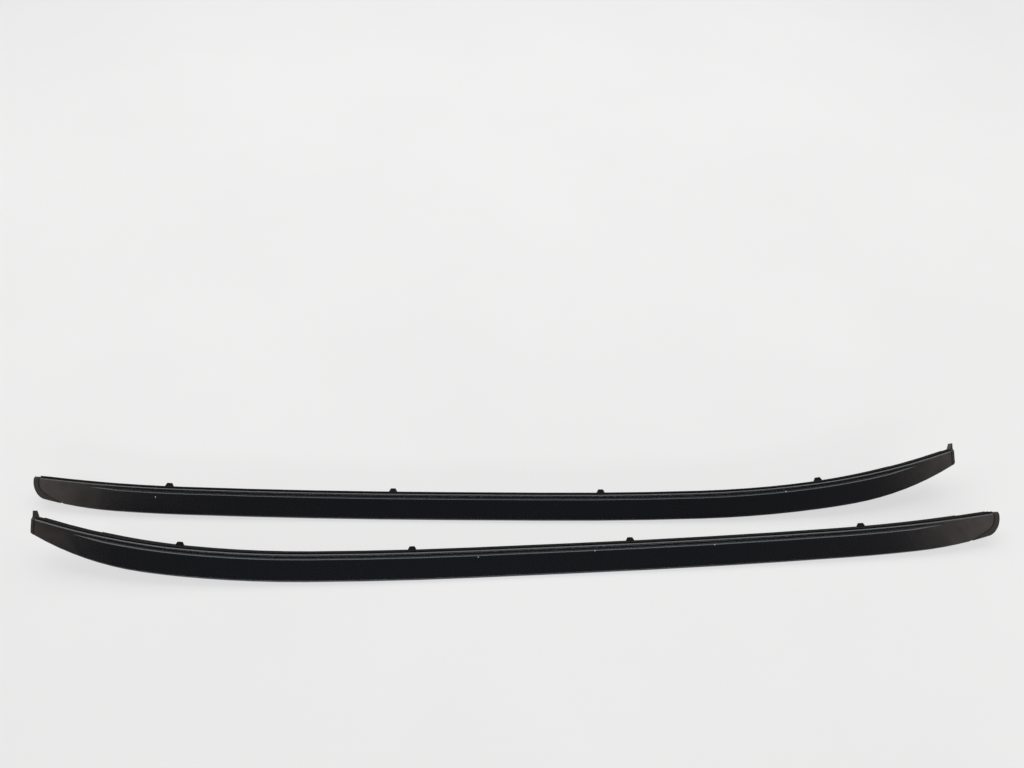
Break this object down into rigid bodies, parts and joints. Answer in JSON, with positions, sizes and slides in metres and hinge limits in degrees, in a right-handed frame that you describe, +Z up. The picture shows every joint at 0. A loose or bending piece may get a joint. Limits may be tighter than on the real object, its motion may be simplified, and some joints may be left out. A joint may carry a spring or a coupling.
{
  "type": "pair of roof rails",
  "caption": "Left and right roof rails for a car, bent hollow aluminium bars with a grooved outer face, tapered capped ends, a rubber seal under the base and threaded inserts.",
  "frame": {"origin": "on the floor, under the middle of the pair's box", "axes": "+X along the rails, towards the front tip of the left rail; +Y from the right rail to the left rail, which is also from each crown to its base; +Z up, with the rails lying on their hidden sides"},
  "size_m": [1.8362, 0.2664, 0.0842],
  "materials": {
    "rail_paint": "satin black",
    "cap_plastic": "matt",
    "seal_rubber": "matt",
    "grommet_rubber": "matt",
    "insert_steel": "zinc plated"
  },
  "bodies": {
    "root": {"left_rail_bar": "rail_paint", "left_base_seal": "seal_rubber", "left_front_cap": "cap_plastic", "left_rear_cap": "cap_plastic", "left_threaded_insert_1": "insert_steel", "left_threaded_insert_2": "insert_steel", "left_threaded_insert_3": "insert_steel", "left_threaded_insert_4": "insert_steel", "left_grommet_1": "grommet_rubber", "left_grommet_2": "grommet_rubber", "left_grommet_3": "grommet_rubber", "left_grommet_4": "grommet_rubber", "right_rail_bar": "rail_paint", "right_base_seal": "seal_rubber", "right_front_cap": "cap_plastic", "right_rear_cap": "cap_plastic", "right_threaded_insert_1": "insert_steel", "right_threaded_insert_2": "insert_steel", "right_threaded_insert_3": "insert_steel", "right_threaded_insert_4": "insert_steel", "right_grommet_1": "grommet_rubber", "right_grommet_2": "grommet_rubber", "right_grommet_3": "grommet_rubber", "right_grommet_4": "grommet_rubber"}
  },
  "joints": []
}
